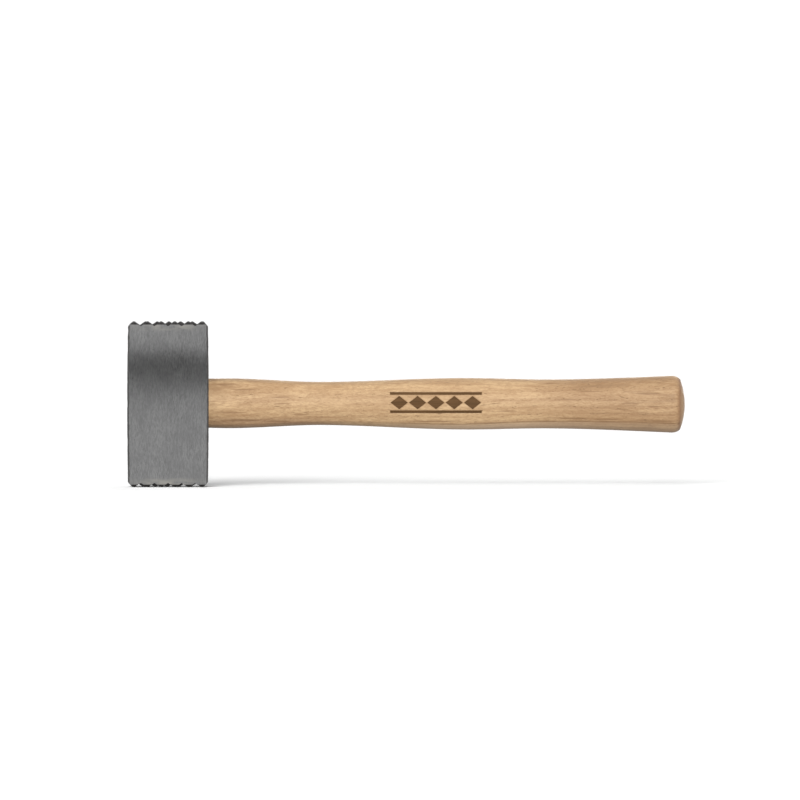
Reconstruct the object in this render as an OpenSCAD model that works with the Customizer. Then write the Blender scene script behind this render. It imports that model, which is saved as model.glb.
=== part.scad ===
// Heavy meat mallet: a square steel head with toothed faces on a wedged wooden handle.
// The origin is the centre of the lower striking face, level with its tooth tips.
// +X runs along the handle, +Z up through the head, -Y out of the marked cheek.

/* [Overall] */
// Length from the outer side of the head to the tip of the handle
overall_length = 280; // [250:1:320]

/* [Head] */
// Width from side to side, at mid height where the sides bulge most
head_w = 41; // [38:0.5:46]
// Depth from cheek to cheek
head_d = 41; // [38:0.5:46]
// Height from the tooth tips of one face to those of the other
head_h = 83; // [76:0.5:100]
// How far each side bulges at mid height past its ends
side_bulge = 0.4; // [0.2:0.1:1]
// Chamfer along the four upright edges
edge_chamfer = 0.9; // [0.4:0.1:1.6]
// How far the eye's centre sits above mid height
eye_rise = 0.5; // [0:0.1:2]
// Chamfer round both mouths of the eye
eye_chamfer = 0.7; // [0.3:0.1:1.2]

/* [Teeth] */
// Teeth in the coarse rows, which are the first and every second row after it
coarse_teeth = 6; // [5:1:8]
// Teeth in the fine rows between them
fine_teeth = 7; // [5:1:9]
// Rows from cheek to cheek, an odd number so that both cheeks show a coarse row
tooth_rows = 7; // [5:2:9]
// Height of the teeth
tooth_h = 2.2; // [1.6:0.1:2.4]
// Side of the flat on each tooth tip
tip_flat = 0.5; // [0.3:0.1:1]
// Sideways shift of the fine rows, towards the handle on the upper face
row_shift = 0.5; // [0:0.1:1]
// Width of the outer rows that the ground cheeks cut away
cheek_cut = 1.1; // [0.5:0.1:2]

/* [Handle] */
// Height of the handle in the eye's mouth, where it leaves the head
eye_h = 24.9; // [23:0.1:27]
// Height of the neck, the narrowest place
neck_h = 21.8; // [19:0.1:24]
// Height of the belly, the swelling under the palm
belly_h = 26; // [24:0.1:29]
// Height of the waist behind the belly
waist_h = 24.7; // [22:0.1:27]
// Height of the flared end
butt_h = 28.6; // [26:0.1:33]
// Thickness from cheek to cheek, as a share of the height
thickness_share = 0.78; // [0.7:0.01:0.9]
// How far the tip of the handle lies below the line of the eye
droop = 0.5; // [0:0.1:3]

/* [Wedges] */
// Thickness of the wooden wedge at its outer end
wood_wedge_t = 5; // [4:0.5:6]
// Length of the wooden wedge
wood_wedge_l = 28; // [24:1:32]
// Width of each steel wedge
steel_wedge_w = 14; // [10:1:15]
// Thickness of a steel wedge at its outer end
steel_wedge_t = 2.6; // [2:0.2:3]
// Length of a steel wedge
steel_wedge_l = 16; // [12:1:20]
// Distance between the two steel wedges
steel_wedge_pitch = 12; // [9:1:14]

/* [Burnt mark] */
// Length of the ornamental band burnt into the handle
mark_l = 46; // [30:1:50]
// Height of the band
mark_h = 10.5; // [7:0.5:11]
// Lozenges in the band
mark_lozenges = 5; // [3:1:7]
// Depth of the burn
mark_depth = 0.35; // [0.2:0.05:0.6]

/* [Hidden] */

steel = "#8a8a8c";
ash = "#d6b28a";
beech = "#c39a6b";
dull_steel = "#6f7073";

// Distance that a cutter runs past what it cuts, or that two joined solids share
past = 1;

// Head: the half widths, the axis of the eye, and the shoulders cut beside the teeth
side_x = head_w / 2;
cheek_y = head_d / 2;
axis_z = head_h / 2 + eye_rise;
shoulder_w = 2.2;
shoulder_h = 3;
bulge_sides = 720;

// Teeth: the pitch across the rows, and the rise of the flanks along a coarse row
row_pitch = (head_d + 2 * cheek_cut) / tooth_rows;
flank_slope = 2 * tooth_h / (head_w / coarse_teeth - tip_flat);

// Ends of the handle; the tenon stops a little short of the side of the head
tenon_recess = 0.3;
tip_x = overall_length - side_x;
tenon_end_x = tenon_recess - side_x;

// Handle stations along X: [x, height]. The profile is level at each and eases between them.
mouth_flare = 1.9;
eye_waist = 0.7;
hump = 0.2;
neck_x = 76;
belly_x = 150;
waist_x = 188;
butt_x = 252;
flare_x = 300;
flare_h = waist_h + (butt_h - waist_h) / ease((butt_x - waist_x) / (flare_x - waist_x));
stations = [
    [-side_x - 2, eye_h + mouth_flare],
    [5, eye_h - eye_waist],
    [31, eye_h + hump],
    [neck_x, neck_h],
    [belly_x, belly_h],
    [waist_x, waist_h],
    [flare_x, flare_h],
];

// Edge bands: the narrow top and bottom faces, each meeting the cheeks at soft ridges.
// They deepen and widen from the neck to the end of the grip.
band_depth_neck = 1.7;
band_depth_end = 5;
band_from_x = 75;
band_share_head = 0.56;
band_share_end = 0.86;

// Handle end: a shallow dome with rounded corners
dome_sag = 3.1;
corner_share = 0.22;
corner_len = 5;
corner_turn = 70;
corner_step = 14;
dome_shares = [0.7, 0.5, 0.3, 0.12];
corner_scale = 1 - corner_share * (1 - cos(corner_turn));
corner_x = tip_x - dome_sag * pow(corner_scale, 2);

// Samples round a section and along the sweep
cheek_steps = 12;
band_steps = 8;
eye_steps = 10;
grip_step = 6;
mouth_x = side_x - eye_chamfer;
eye_xs = [for (k = [0 : eye_steps]) (2 * k / eye_steps - 1) * mouth_x];

// Wedge geometry
kerf_w = 1.4;
kerf_extra = 3;
steel_wedge_tip_t = 0.4;
barb = 0.15;
barbs = 3;

// Mark geometry: its middle, how far it sits above the axis, the thickness of its bars
// and the gap round each lozenge
mark_x = 134.5;
mark_rise = 0.6;
mark_bar = 1.3;
lozenge_gap = 0.6;
mark_reach = 20;
core_steps = 8;

// Eased step from 0 to 1
function ease(t) = t * t * (3 - 2 * t);

// Index of the station at or before x
function station_at(x, i = 0) =
    i >= len(stations) - 2 || x < stations[i + 1][0] ? i : station_at(x, i + 1);

// Height of the handle at x
function height_at(x) =
    let (i = station_at(x), p = stations[i], q = stations[i + 1])
    p[1] + (q[1] - p[1]) * ease((x - p[0]) / (q[0] - p[0]));

// Depth of the edge bands at x
function band_depth(x) =
    let (share = max(0, x - band_from_x) / (tip_x - band_from_x))
    band_depth_neck + (band_depth_end - band_depth_neck) * share;

// Width of the edge bands at x, as a share of the thickness
function band_share(x) =
    band_share_head + (band_share_end - band_share_head) * max(0, x) / tip_x;

// Points of an arc through (0, rise) and (+-half, 0), from +half to -half, last one left out
function arc(half, rise, steps) =
    let (r = (half * half + rise * rise) / (2 * rise), turn = asin(half / r))
    [for (k = [0 : steps - 1])
        let (a = turn - 2 * turn * k / steps)
        [r * sin(a), r * cos(a) - r + rise]];

// Closed section in [y, z]: two crowned cheeks joined by two narrow crowned bands
function section(height, thickness, drop, half_w) =
    let (
        band = arc(half_w, drop, band_steps),
        cheek = arc(height / 2 - drop, thickness / 2 - half_w, cheek_steps),
        corner_z = height / 2 - drop
    )
    concat(
        [for (p = band) [p[0], corner_z + p[1]]],
        [for (p = cheek) [-half_w - p[1], p[0]]],
        [for (p = band) [-p[0], -corner_z - p[1]]],
        [for (p = cheek) [half_w + p[1], -p[0]]]
    );

// Height of the handle's axis at x
function axis_at(x) = axis_z - droop * max(0, x - side_x) / (tip_x - side_x);

// One ring of the handle at x, scaled about the axis and grown all round
function ring(x, scale = 1, grow = 0) =
    let (
        height = height_at(x),
        thickness = thickness_share * height,
        half_w = band_share(x) * thickness / 2,
        s = section(height + 2 * grow, thickness + 2 * grow, band_depth(x), half_w + grow)
    )
    [for (p = s) [x, p[0] * scale, axis_at(x) + p[1] * scale]];

// Rings of the rounded end, from its corner to close by the tip
function end_rings() = concat(
    [for (a = [0 : corner_step : corner_turn])
        ring(corner_x - corner_len * (sin(corner_turn) - sin(a)),
             1 - corner_share * (1 - cos(a)))],
    [for (s = dome_shares)
        ring(tip_x - dome_sag * s * s, s)]
);

// Solid through a list of rings, closed by a fan at each end
module sweep(rings) {
    n = len(rings[0]);
    last = len(rings) - 1;
    points = [for (r = rings) each r];
    walls = [for (i = [0 : last - 1], k = [0 : n - 1])
        let (a = i * n + k, b = i * n + (k + 1) % n)
        each [[a, a + n, b], [b, a + n, b + n]]];
    caps = [[for (k = [0 : n - 1]) k], [for (k = [n - 1 : -1 : 0]) last * n + k]];
    polyhedron(points, concat(walls, caps), convexity = 4);
}

// Rings of the tenon, from its outer end to the eye's mouth beside the handle
tenon_rings = [for (x = concat([tenon_end_x], eye_xs)) ring(x)];

// The eye, running out past both sides, with a chamfer at each mouth
module eye() {
    sweep(concat(
        [ring(-side_x - past, grow = eye_chamfer + past)],
        [for (x = eye_xs) ring(x)],
        [ring(side_x + past, grow = eye_chamfer + past)]
    ));
}

// Outline of one row of teeth, wider than the head, in [x, z] with the valleys near 0
module comb(teeth, shift) {
    pitch = head_w / teeth;
    flank = (pitch - tip_flat) / 2;
    valley = tooth_h - flank_slope * flank;
    first = -side_x - pitch + shift;
    last = first + (teeth + 2) * pitch;
    polygon(concat(
        [[first, -past]],
        [for (k = [0 : teeth + 1])
            let (x = first + k * pitch)
            each [[x, valley], [x + flank, tooth_h], [x + flank + tip_flat, tooth_h]]],
        [[last, valley], [last, -past]]
    ));
}

// Cross section of one row in [y, z]
module ridge() {
    polygon([
        [0, -past], [0, 0], [(row_pitch - tip_flat) / 2, tooth_h],
        [(row_pitch + tip_flat) / 2, tooth_h], [row_pitch, 0], [row_pitch, -past],
    ]);
}

// Teeth of one striking face, tips up, their valleys at z = 0
module tooth_field() {
    for (i = [0 : tooth_rows - 1]) {
        coarse = i % 2 == 0;
        translate([0, -cheek_y - cheek_cut + i * row_pitch, 0]) intersection() {
            translate([0, row_pitch, 0]) rotate([90, 0, 0]) linear_extrude(row_pitch)
                comb(coarse ? coarse_teeth : fine_teeth, coarse ? 0 : row_shift);
            translate([-head_w, 0, 0]) rotate([90, 0, 90]) linear_extrude(2 * head_w)
                ridge();
        }
    }
}

// Square with its corners cut by w along X and by h along Y
module cut_square(x, y, w, h) {
    polygon([
        [-x + w, -y], [x - w, -y], [x, -y + h], [x, y - h],
        [x - w, y], [-x + w, y], [-x, y - h], [-x, -y + h],
    ]);
}

// Outer form of the head: chamfered bar, bulged sides, cut shoulders beside the teeth
module head_envelope() {
    bulge_r = (pow(head_h / 2, 2) + pow(side_bulge, 2)) / (2 * side_bulge);
    mid_z = head_h / 2;
    intersection() {
        translate([0, 0, -past]) linear_extrude(head_h + 2 * past)
            cut_square(side_x, cheek_y, edge_chamfer, edge_chamfer);
        translate([0, head_d, mid_z]) rotate([90, 0, 0]) linear_extrude(2 * head_d)
            cut_square(side_x, mid_z, side_bulge + shoulder_w, shoulder_h);
        for (side = [-1, 1])
            translate([side * (bulge_r - side_x), head_d, mid_z]) rotate([90, 0, 0])
                cylinder(r = bulge_r, h = 2 * head_d, $fn = bulge_sides);
    }
}

module head() {
    color(steel) difference() {
        intersection() {
            union() {
                translate([-head_w, -head_d, tooth_h])
                    cube([2 * head_w, 2 * head_d, head_h - 2 * tooth_h]);
                translate([0, 0, head_h - tooth_h]) tooth_field();
                translate([0, 0, tooth_h]) rotate([0, 180, 0]) tooth_field();
            }
            head_envelope();
        }
        eye();
    }
}

// The tapered split that the wooden wedge fills
module wedge_slot() {
    translate([tenon_end_x, 0, axis_z - head_h / 4]) linear_extrude(head_h / 2)
        polygon([
            [0, wood_wedge_t / 2], [wood_wedge_l, kerf_w / 2],
            [wood_wedge_l, -kerf_w / 2], [0, -wood_wedge_t / 2],
        ]);
}

// The saw kerf that runs on past the wooden wedge's tip
module kerf() {
    translate([tenon_end_x + wood_wedge_l - past, -kerf_w / 2, axis_z - head_h / 4])
        cube([past + kerf_extra, kerf_w, head_h / 2]);
}

// Barbed wedge above or below the eye's axis, its thin edge towards the handle
module wedge_shape(side) {
    step = steel_wedge_l / barbs;
    taper = (steel_wedge_t - steel_wedge_tip_t) / 2 / barbs;
    half_t = [for (k = [0 : barbs]) steel_wedge_t / 2 - k * taper];
    flank = [for (k = [0 : barbs - 1])
        each [[k * step, half_t[k]], [(k + 1) * step, half_t[k + 1] - barb]]];
    mirrored = [for (k = [len(flank) - 1 : -1 : 0]) [flank[k][0], -flank[k][1]]];
    translate([tenon_end_x, steel_wedge_w / 2, axis_z + side * steel_wedge_pitch / 2])
        rotate([90, 0, 0]) linear_extrude(steel_wedge_w) polygon(concat(flank, mirrored));
}

// Ornamental band, in the plane of the cheek: lozenges in a row between two bars
module band_outline() {
    pitch = mark_l / mark_lozenges;
    half_w = (pitch - lozenge_gap) / 2;
    bar_z = (mark_h - mark_bar) / 2;
    half_h = bar_z - mark_bar / 2 - lozenge_gap;
    for (k = [0 : mark_lozenges - 1])
        translate([(k - (mark_lozenges - 1) / 2) * pitch, 0])
            polygon([[-half_w, 0], [0, -half_h], [half_w, 0], [0, half_h]]);
    for (side = [-1, 1])
        translate([0, side * bar_z]) square([mark_l, mark_bar], center = true);
}

// The layer of wood that the burn takes out of the cheek
module burn() {
    half_l = mark_l / 2 + past;
    core_xs = [for (k = [0 : core_steps]) mark_x + (2 * k / core_steps - 1) * half_l];
    difference() {
        translate([mark_x, 0, axis_at(mark_x) + mark_rise]) rotate([90, 0, 0])
            linear_extrude(mark_reach) band_outline();
        sweep([for (x = core_xs) ring(x, grow = -mark_depth)]);
    }
}

module handle() {
    grip_end = corner_x - corner_len * sin(corner_turn);
    grips = floor((grip_end - side_x) / grip_step);
    grip_xs = [for (k = [0 : grips - 1]) side_x + k * (grip_end - side_x) / grips];
    color(ash) difference() {
        sweep(concat(tenon_rings, [for (x = grip_xs) ring(x)], end_rings()));
        wedge_slot();
        kerf();
        wedge_shape(-1);
        wedge_shape(1);
        burn();
    }
}

module wooden_wedge() {
    color(beech) difference() {
        intersection() {
            sweep(tenon_rings);
            wedge_slot();
        }
        wedge_shape(-1);
        wedge_shape(1);
    }
}

module steel_wedge_upper() {
    color(dull_steel) wedge_shape(1);
}

module steel_wedge_lower() {
    color(dull_steel) wedge_shape(-1);
}

head();
handle();
wooden_wedge();
steel_wedge_upper();
steel_wedge_lower();
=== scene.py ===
"""Looks of the meat mallet: a square steel head with toothed faces on a wedged ash handle.

Lengths are in metres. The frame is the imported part's: origin under the middle of the head,
+X along the handle, +Z up through the head, -Y out of the side that carries the burnt band.
"""

import math

import bpy
import numpy as np
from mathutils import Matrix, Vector, noise


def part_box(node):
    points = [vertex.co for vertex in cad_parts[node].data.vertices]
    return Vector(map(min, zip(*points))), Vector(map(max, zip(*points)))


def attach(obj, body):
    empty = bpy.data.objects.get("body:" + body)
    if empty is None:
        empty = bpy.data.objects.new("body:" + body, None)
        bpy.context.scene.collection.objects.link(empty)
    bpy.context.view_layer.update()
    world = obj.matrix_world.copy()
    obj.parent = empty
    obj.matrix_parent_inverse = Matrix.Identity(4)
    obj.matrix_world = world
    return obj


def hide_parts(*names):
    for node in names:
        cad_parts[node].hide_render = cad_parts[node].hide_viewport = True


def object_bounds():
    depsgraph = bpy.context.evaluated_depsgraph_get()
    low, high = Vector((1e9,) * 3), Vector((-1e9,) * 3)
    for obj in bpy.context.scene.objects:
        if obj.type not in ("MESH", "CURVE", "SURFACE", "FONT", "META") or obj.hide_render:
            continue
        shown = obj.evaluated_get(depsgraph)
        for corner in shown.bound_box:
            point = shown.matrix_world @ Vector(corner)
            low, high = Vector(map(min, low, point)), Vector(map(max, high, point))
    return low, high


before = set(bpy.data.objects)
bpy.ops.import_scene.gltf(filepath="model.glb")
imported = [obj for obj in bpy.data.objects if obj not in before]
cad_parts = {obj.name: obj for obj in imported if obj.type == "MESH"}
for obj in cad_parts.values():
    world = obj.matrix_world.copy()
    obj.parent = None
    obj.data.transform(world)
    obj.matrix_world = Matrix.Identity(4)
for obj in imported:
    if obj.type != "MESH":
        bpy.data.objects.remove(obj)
cad_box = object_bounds()

MM = 0.001

# ---- Head, from the frame where it gives the size
SIDE_X, CHEEK_Y, HEAD_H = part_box("head")[1]
MID_Z = HEAD_H / 2
AXIS_Z = MID_Z + 0.5 * MM
SIDE_BULGE = 0.4 * MM
BULGE_R = (MID_Z**2 + SIDE_BULGE**2) / (2 * SIDE_BULGE)
SHOULDER_W = SIDE_BULGE + 2.2 * MM
SHOULDER_H = 3 * MM
EDGE_R = 1.3 * MM  # radius of the forged upright edges
RIM = 0.15 * MM  # height of the broken edge where a cheek meets the teeth
RIM_DEPTH = 0.008 * MM
NOT_GROUND = -1 * MM  # stands for "far below the ground cheek" where no grinder has been
GROUND, FORGED, TOOTHED = 0, 1, 2  # the head's materials, by number

# ---- Eye
EYE_CHAMFER = 0.7 * MM
EYE_INSET = 0.2 * MM  # where the chamfer starts, below the ideal side face
EYE_GAP = 0.03 * MM
BORE_INSET = 1.5 * MM  # where the chamfer has ended
BORE_RINGS = 12
CLEAR_Y, CLEAR_Z = 14.5 * MM, 18 * MM  # half of the block of side wall that makes room for the eye

# ---- Mesh steps of the head
CORNER_CELLS, ROW_CELLS, WALL_CELLS = 5, 18, 116

# ---- Teeth
TOOTH_H = 2.2 * MM
TIP_FLAT = 0.5 * MM
TIP_SOFT = 0.22 * MM  # how far the tooth edges are worn round
TIP_WEAR = 0.16 * MM  # most that a tooth has lost
ROWS = 7
TEETH_COARSE = 6
TEETH_FINE = 7
ROW_SHIFT = 0.5 * MM
CHEEK_CUT = 1.1 * MM
ROW_PITCH = (2 * CHEEK_Y + 2 * CHEEK_CUT) / ROWS
FLANK_SLOPE = 2 * TOOTH_H / (2 * SIDE_X / TEETH_COARSE - TIP_FLAT)
ROW_SLOPE = 2 * TOOTH_H / (ROW_PITCH - TIP_FLAT)

# ---- Handle
TENON_END_X, TIP_X = (corner.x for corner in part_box("handle"))
DROOP = 0.5 * MM
THICKNESS_SHARE = 0.78
WAIST_X, BUTT_X, FLARE_X = 188 * MM, 252 * MM, 300 * MM
EYE_H = 24.9 * MM
NECK_H = 21.8 * MM
BELLY_H = 26 * MM
WAIST_H = 24.7 * MM
BUTT_H = 28.6 * MM
BAND_DEPTH_NECK, BAND_DEPTH_END, BAND_FROM_X = 1.7 * MM, 5 * MM, 75 * MM
BAND_SHARE_HEAD, BAND_SHARE_END = 0.56, 0.86
SANDED = 0.05 * MM  # how far the sanded surface strays
# The same stretch carries a painted sheen on the band under the grip.
GRIP_FROM_X, GRIP_RUN = 95 * MM, 45 * MM  # where the rubbed grip begins, and over what length

# ---- Rounded corner and dome at the handle's end
DOME_SAG = 3.1 * MM
CORNER_SHARE, CORNER_LEN, CORNER_TURN = 0.22, 5 * MM, math.radians(70)
DOME_SHARE = 1 - CORNER_SHARE * (1 - math.cos(CORNER_TURN))  # size of the section at the dome's edge
CORNER_X = TIP_X - DOME_SAG * DOME_SHARE**2
GRIP_END_X = CORNER_X - CORNER_LEN * math.sin(CORNER_TURN)

# ---- Mesh steps of the handle: across a narrow band and a cheek, then along the handle
BAND_STEPS, CHEEK_STEPS = 22, 72
TENON_STEPS, NECK_STEPS, MARK_STEPS, GRIP_STEPS = 21, 65, 189, 71
CORNER_RINGS, DOME_RINGS, LAST_RING_SHARE = 15, 15, 0.03

# ---- Burnt band
MARK_X = 134.5 * MM
MARK_RISE = 0.6 * MM
MARK_L, MARK_H = 46 * MM, 10.5 * MM
MARK_BAR = 1.3 * MM
MARK_LOZENGES = 5
LOZENGE_GAP = 0.6 * MM
MARK_DEPTH = 0.3 * MM
MARK_WALL = 0.2 * MM  # width of the recess's sloping wall
MARK_MARGIN = 1 * MM  # finely meshed wood beyond the band

# ---- Dark strokes of grain on the marked cheek, in mm: x, z, half length, half height
STROKES = (
    (29, 51.5, 7, 0.8), (38, 49, 7, 0.6), (56, 45, 7, 0.5), (57, 42, 5, 0.5), (32, 37.5, 9, 0.5),
    (38, 33.5, 12, 0.8), (55, 33, 9, 0.6), (67, 36.5, 6, 0.5), (192, 52, 5, 0.4), (242, 47, 8, 0.6),
    (232, 42, 6, 0.4), (244, 40.5, 5, 0.5), (200, 44, 6, 0.4), (227, 39, 6, 0.4), (220, 34, 9, 0.5),
    (246, 33, 11, 0.5), (203, 34.5, 10, 0.5), (133, 33, 15, 0.5), (212, 48, 9, 0.4), (170, 38, 6, 0.4),
)

# ---- Painted highlights on the same cheek, in the same terms
PAINTED_HIGHLIGHTS = ((27, 41.5, 13, 7.5), (86, 43.5, 30, 5.5))

# ---- Wedges
WEDGE_T, WEDGE_L = 5 * MM, 28 * MM
KERF_W, KERF_EXTRA = 1.4 * MM, 3 * MM
KERF_OVERLAP = 1 * MM  # of the kerf's cutter with the slot's
SLOT_PAST_END = 1e-6

# ---- Stage
FLOOR_TONE = 0.40  # share of the light that the floor returns
FLOOR_HALF = 60
SKY_LOW, SKY_HIGH = (-0.5, 0.50), (0.3, 0.88)  # upward part of the direction, and strength there
CARD_OUTLINE = np.array([
    (-60, 55), (-20, 50), (0, 47.5), (20, 50), (60, 55),
    (60, 62), (20, 67.4), (0, 69.2), (-20, 67.4), (-60, 62),
]) * MM
CARD_AWAY, CARD_AWAY_Z = 85 * MM, 48.5 * MM  # distance from the cheek, and the height it is taken at
CARD_LEAN = 50 / 21  # how far the card comes towards the cheek for each unit of its rise
VIEW_WIDTH = 0.4016
VIEW_SHIFT_X, VIEW_SHIFT_Z = -3.0 * MM, 2.1 * MM
VIEW_DISTANCE, VIEW_ELEVATION = 30, 0.6  # metres and degrees


def ease(t):
    """Eased step from 0 to 1."""
    t = np.clip(t, 0, 1)
    return t * t * (3 - 2 * t)


def wobble(points, size, seed):
    """Smooth noise at each point, mostly within -1 to 1, with features of the given size."""
    shift = Vector((seed * 7.3, seed * 3.1, seed * 5.7))
    return np.array([noise.noise(Vector(p) / size + shift) for p in points])


# ---------------------------------------------------------------- handle shape

FLARE_H = WAIST_H + (BUTT_H - WAIST_H) / ease((BUTT_X - WAIST_X) / (FLARE_X - WAIST_X))
STATIONS = np.array([
    (-SIDE_X - 2 * MM, EYE_H + 1.9 * MM),
    (5 * MM, EYE_H - 0.7 * MM),
    (31 * MM, EYE_H + 0.2 * MM),
    (76 * MM, NECK_H),
    (150 * MM, BELLY_H),
    (WAIST_X, WAIST_H),
    (FLARE_X, FLARE_H),
])


def height_at(x):
    """Height of the handle at x: level at each station, eased between them."""
    xs, heights = STATIONS.T
    i = int(np.clip(np.searchsorted(xs, x, side="right") - 1, 0, len(xs) - 2))
    return heights[i] + (heights[i + 1] - heights[i]) * ease((x - xs[i]) / (xs[i + 1] - xs[i]))


def axis_at(x):
    """Height of the handle's axis at x."""
    return AXIS_Z - DROOP * np.maximum(0, x - SIDE_X) / (TIP_X - SIDE_X)


def band_drop(x):
    """How far the ridges at x stand below the top of the section, and above its bottom."""
    share = np.maximum(0, x - BAND_FROM_X) / (TIP_X - BAND_FROM_X)
    return BAND_DEPTH_NECK + (BAND_DEPTH_END - BAND_DEPTH_NECK) * share


def arc(half, rise, steps):
    """Points of an arc through (0, rise) and (+-half, 0), from +half, the last left out."""
    r = (half * half + rise * rise) / (2 * rise)
    turn = math.asin(half / r)
    a = turn - 2 * turn * np.arange(steps) / steps
    return r * np.sin(a), r * np.cos(a) - r + rise


def section(x, grow=0.0):
    """Outline of the handle at x about its axis, as [y, z] rows, grown all round."""
    height = height_at(x)
    thickness = THICKNESS_SHARE * height
    drop = band_drop(x)
    band_share = BAND_SHARE_HEAD + (BAND_SHARE_END - BAND_SHARE_HEAD) * max(0, x) / TIP_X
    half_w = band_share * thickness / 2 + grow
    half_h = height / 2 + grow - drop
    band_y, band_z = arc(half_w, drop, BAND_STEPS)
    cheek_z, cheek_y = arc(half_h, thickness / 2 + grow - half_w, CHEEK_STEPS)
    half = np.concatenate([
        np.column_stack([band_y, half_h + band_z]),
        np.column_stack([-half_w - cheek_y, cheek_z]),
    ])
    return np.concatenate([half, -half])


def softened(outline):
    """The outline with its four ridges worn soft."""
    for _ in range(2):
        outline = (np.roll(outline, 1, 0) + 2 * outline + np.roll(outline, -1, 0)) / 4
    return outline


def handle_ring(x, scale=1.0):
    """Points round the handle at x."""
    outline = softened(section(x)) * scale
    return np.column_stack([np.full(len(outline), x), outline[:, 0], axis_at(x) + outline[:, 1]])


def handle_rings():
    """Rings from the end of the tenon to the grip's, over the rounded corner and across the dome."""
    mark_low = MARK_X - MARK_L / 2 - MARK_MARGIN
    mark_high = MARK_X + MARK_L / 2 + MARK_MARGIN
    stretches = (
        (TENON_END_X, SIDE_X, TENON_STEPS),
        (SIDE_X, mark_low, NECK_STEPS),
        (mark_low, mark_high, MARK_STEPS),
        (mark_high, GRIP_END_X, GRIP_STEPS),
    )
    rings = [handle_ring(x) for run in stretches for x in np.linspace(*run, endpoint=False)]
    for turn in np.linspace(0, CORNER_TURN, CORNER_RINGS):
        x = CORNER_X - CORNER_LEN * (math.sin(CORNER_TURN) - math.sin(turn))
        rings.append(handle_ring(x, 1 - CORNER_SHARE * (1 - math.cos(turn))))
    for share in DOME_SHARE * np.linspace(1, LAST_RING_SHARE, DOME_RINGS + 1)[1:]:
        rings.append(handle_ring(TIP_X - DOME_SAG * share * share, share))
    return rings


def sanded(points):
    """The handle's points, those outside the head moved a little in or out, as sanding leaves them."""
    x = points[:, 0]
    out = points - np.column_stack([x, np.zeros(len(points)), axis_at(x)])
    out /= np.maximum(np.linalg.norm(out, axis=1), 1e-6)[:, None]
    free = ease((x - SIDE_X - 1 * MM) / (4 * MM))
    return points + out * (free * wobble(points * (0.3, 1, 1), 7 * MM, 6) * SANDED)[:, None]


def band_distance(points):
    """Distance of each point on the front cheek to the burnt band's outline, negative inside."""
    u = points[:, 0] - MARK_X
    v = points[:, 2] - axis_at(MARK_X) - MARK_RISE
    pitch = MARK_L / MARK_LOZENGES
    half_w = (pitch - LOZENGE_GAP) / 2
    bar_z = (MARK_H - MARK_BAR) / 2
    half_h = bar_z - MARK_BAR / 2 - LOZENGE_GAP
    middle = (MARK_LOZENGES - 1) / 2
    k = np.clip(np.round(u / pitch + middle), 0, MARK_LOZENGES - 1) - middle
    slant = math.hypot(half_w, half_h)
    lozenge = (np.abs(u - k * pitch) * half_h + np.abs(v) * half_w - half_w * half_h) / slant
    bar = np.maximum(np.abs(u) - MARK_L / 2, np.abs(np.abs(v) - bar_z) - MARK_BAR / 2)
    far = np.where(points[:, 1] < 0, 0, 1.0)
    return np.minimum(lozenge, bar) + far


def handling(points):
    """Two shares of 0 to 1 at each point: of a rubbed ridge, and of a painted sheen on the band under
    the grip.
    """
    x = points[:, 0]
    height = np.array([height_at(v) for v in x])
    past_ridge = np.abs(points[:, 2] - axis_at(x)) - (height / 2 - band_drop(x))
    grip = ease((x - GRIP_FROM_X) / GRIP_RUN)
    below = points[:, 2] < axis_at(x)
    ridge = np.where(below, 1.0, 0.3) * grip * (1 - ease(np.abs(past_ridge) / (0.55 * MM)))
    fade = 1 - 0.6 * ease((x - 160 * MM) / (75 * MM))
    # Painted sheen: the lower narrow band past the ridge, weaker towards the grip's end.
    under = below * grip * fade * ease(past_ridge / (1 * MM))
    return ridge, under


# ---------------------------------------------------------------- head shape


def smooth_min(a, b, soft):
    """The smaller of a and b, with the crease between them rounded."""
    h = np.maximum(soft - np.abs(a - b), 0) / soft
    return np.minimum(a, b) - h * h * soft / 4


def tooth_height(x, y):
    """Height of the upper face above its valleys at x, y."""
    across = y + CHEEK_Y + CHEEK_CUT
    row = np.clip(np.floor(across / ROW_PITCH), 0, ROWS - 1)
    coarse = row % 2 == 0
    pitch = 2 * SIDE_X / np.where(coarse, TEETH_COARSE, TEETH_FINE)
    along = x + SIDE_X - np.where(coarse, 0, ROW_SHIFT)
    column = np.floor(along / pitch)
    peak = TOOTH_H + ROW_SLOPE * TIP_FLAT / 2
    from_ridge = np.abs(across - (row + 0.5) * ROW_PITCH)
    from_tip = np.abs(along - (column + 0.5) * pitch)
    rise = smooth_min(peak - ROW_SLOPE * from_ridge, peak - FLANK_SLOPE * from_tip, TIP_SOFT)
    wear = (np.sin(row * 12.9 + column * 78.2) * 43758.5) % 1  # a fixed scatter, tooth by tooth
    limit = TOOTH_H - TIP_WEAR * wear**3
    return np.minimum(smooth_min(rise, limit + TIP_SOFT / 4, TIP_SOFT), TOOTH_H)


def top_height(x, y):
    """Height of the upper end of the head: its teeth, cut by the shoulders at the sides."""
    teeth = HEAD_H - TOOTH_H + tooth_height(x, y)
    shoulder = HEAD_H - SHOULDER_H * (np.abs(x) - SIDE_X + SHOULDER_W) / SHOULDER_W
    return np.minimum(teeth, shoulder)


def rim_height(x, y):
    """Height of the upper end where it meets a wall, a hair inside the cheeks."""
    return top_height(x, np.clip(y, RIM_DEPTH - CHEEK_Y, CHEEK_Y - RIM_DEPTH))


def side_at(z):
    """Half width of the head at z, between its bulged sides."""
    return SIDE_X - BULGE_R + np.sqrt(BULGE_R**2 - (z - MID_Z) ** 2)


END_SCALE = side_at(HEAD_H - SHOULDER_H) / SIDE_X  # width of the ends as a share of the middle's


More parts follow.
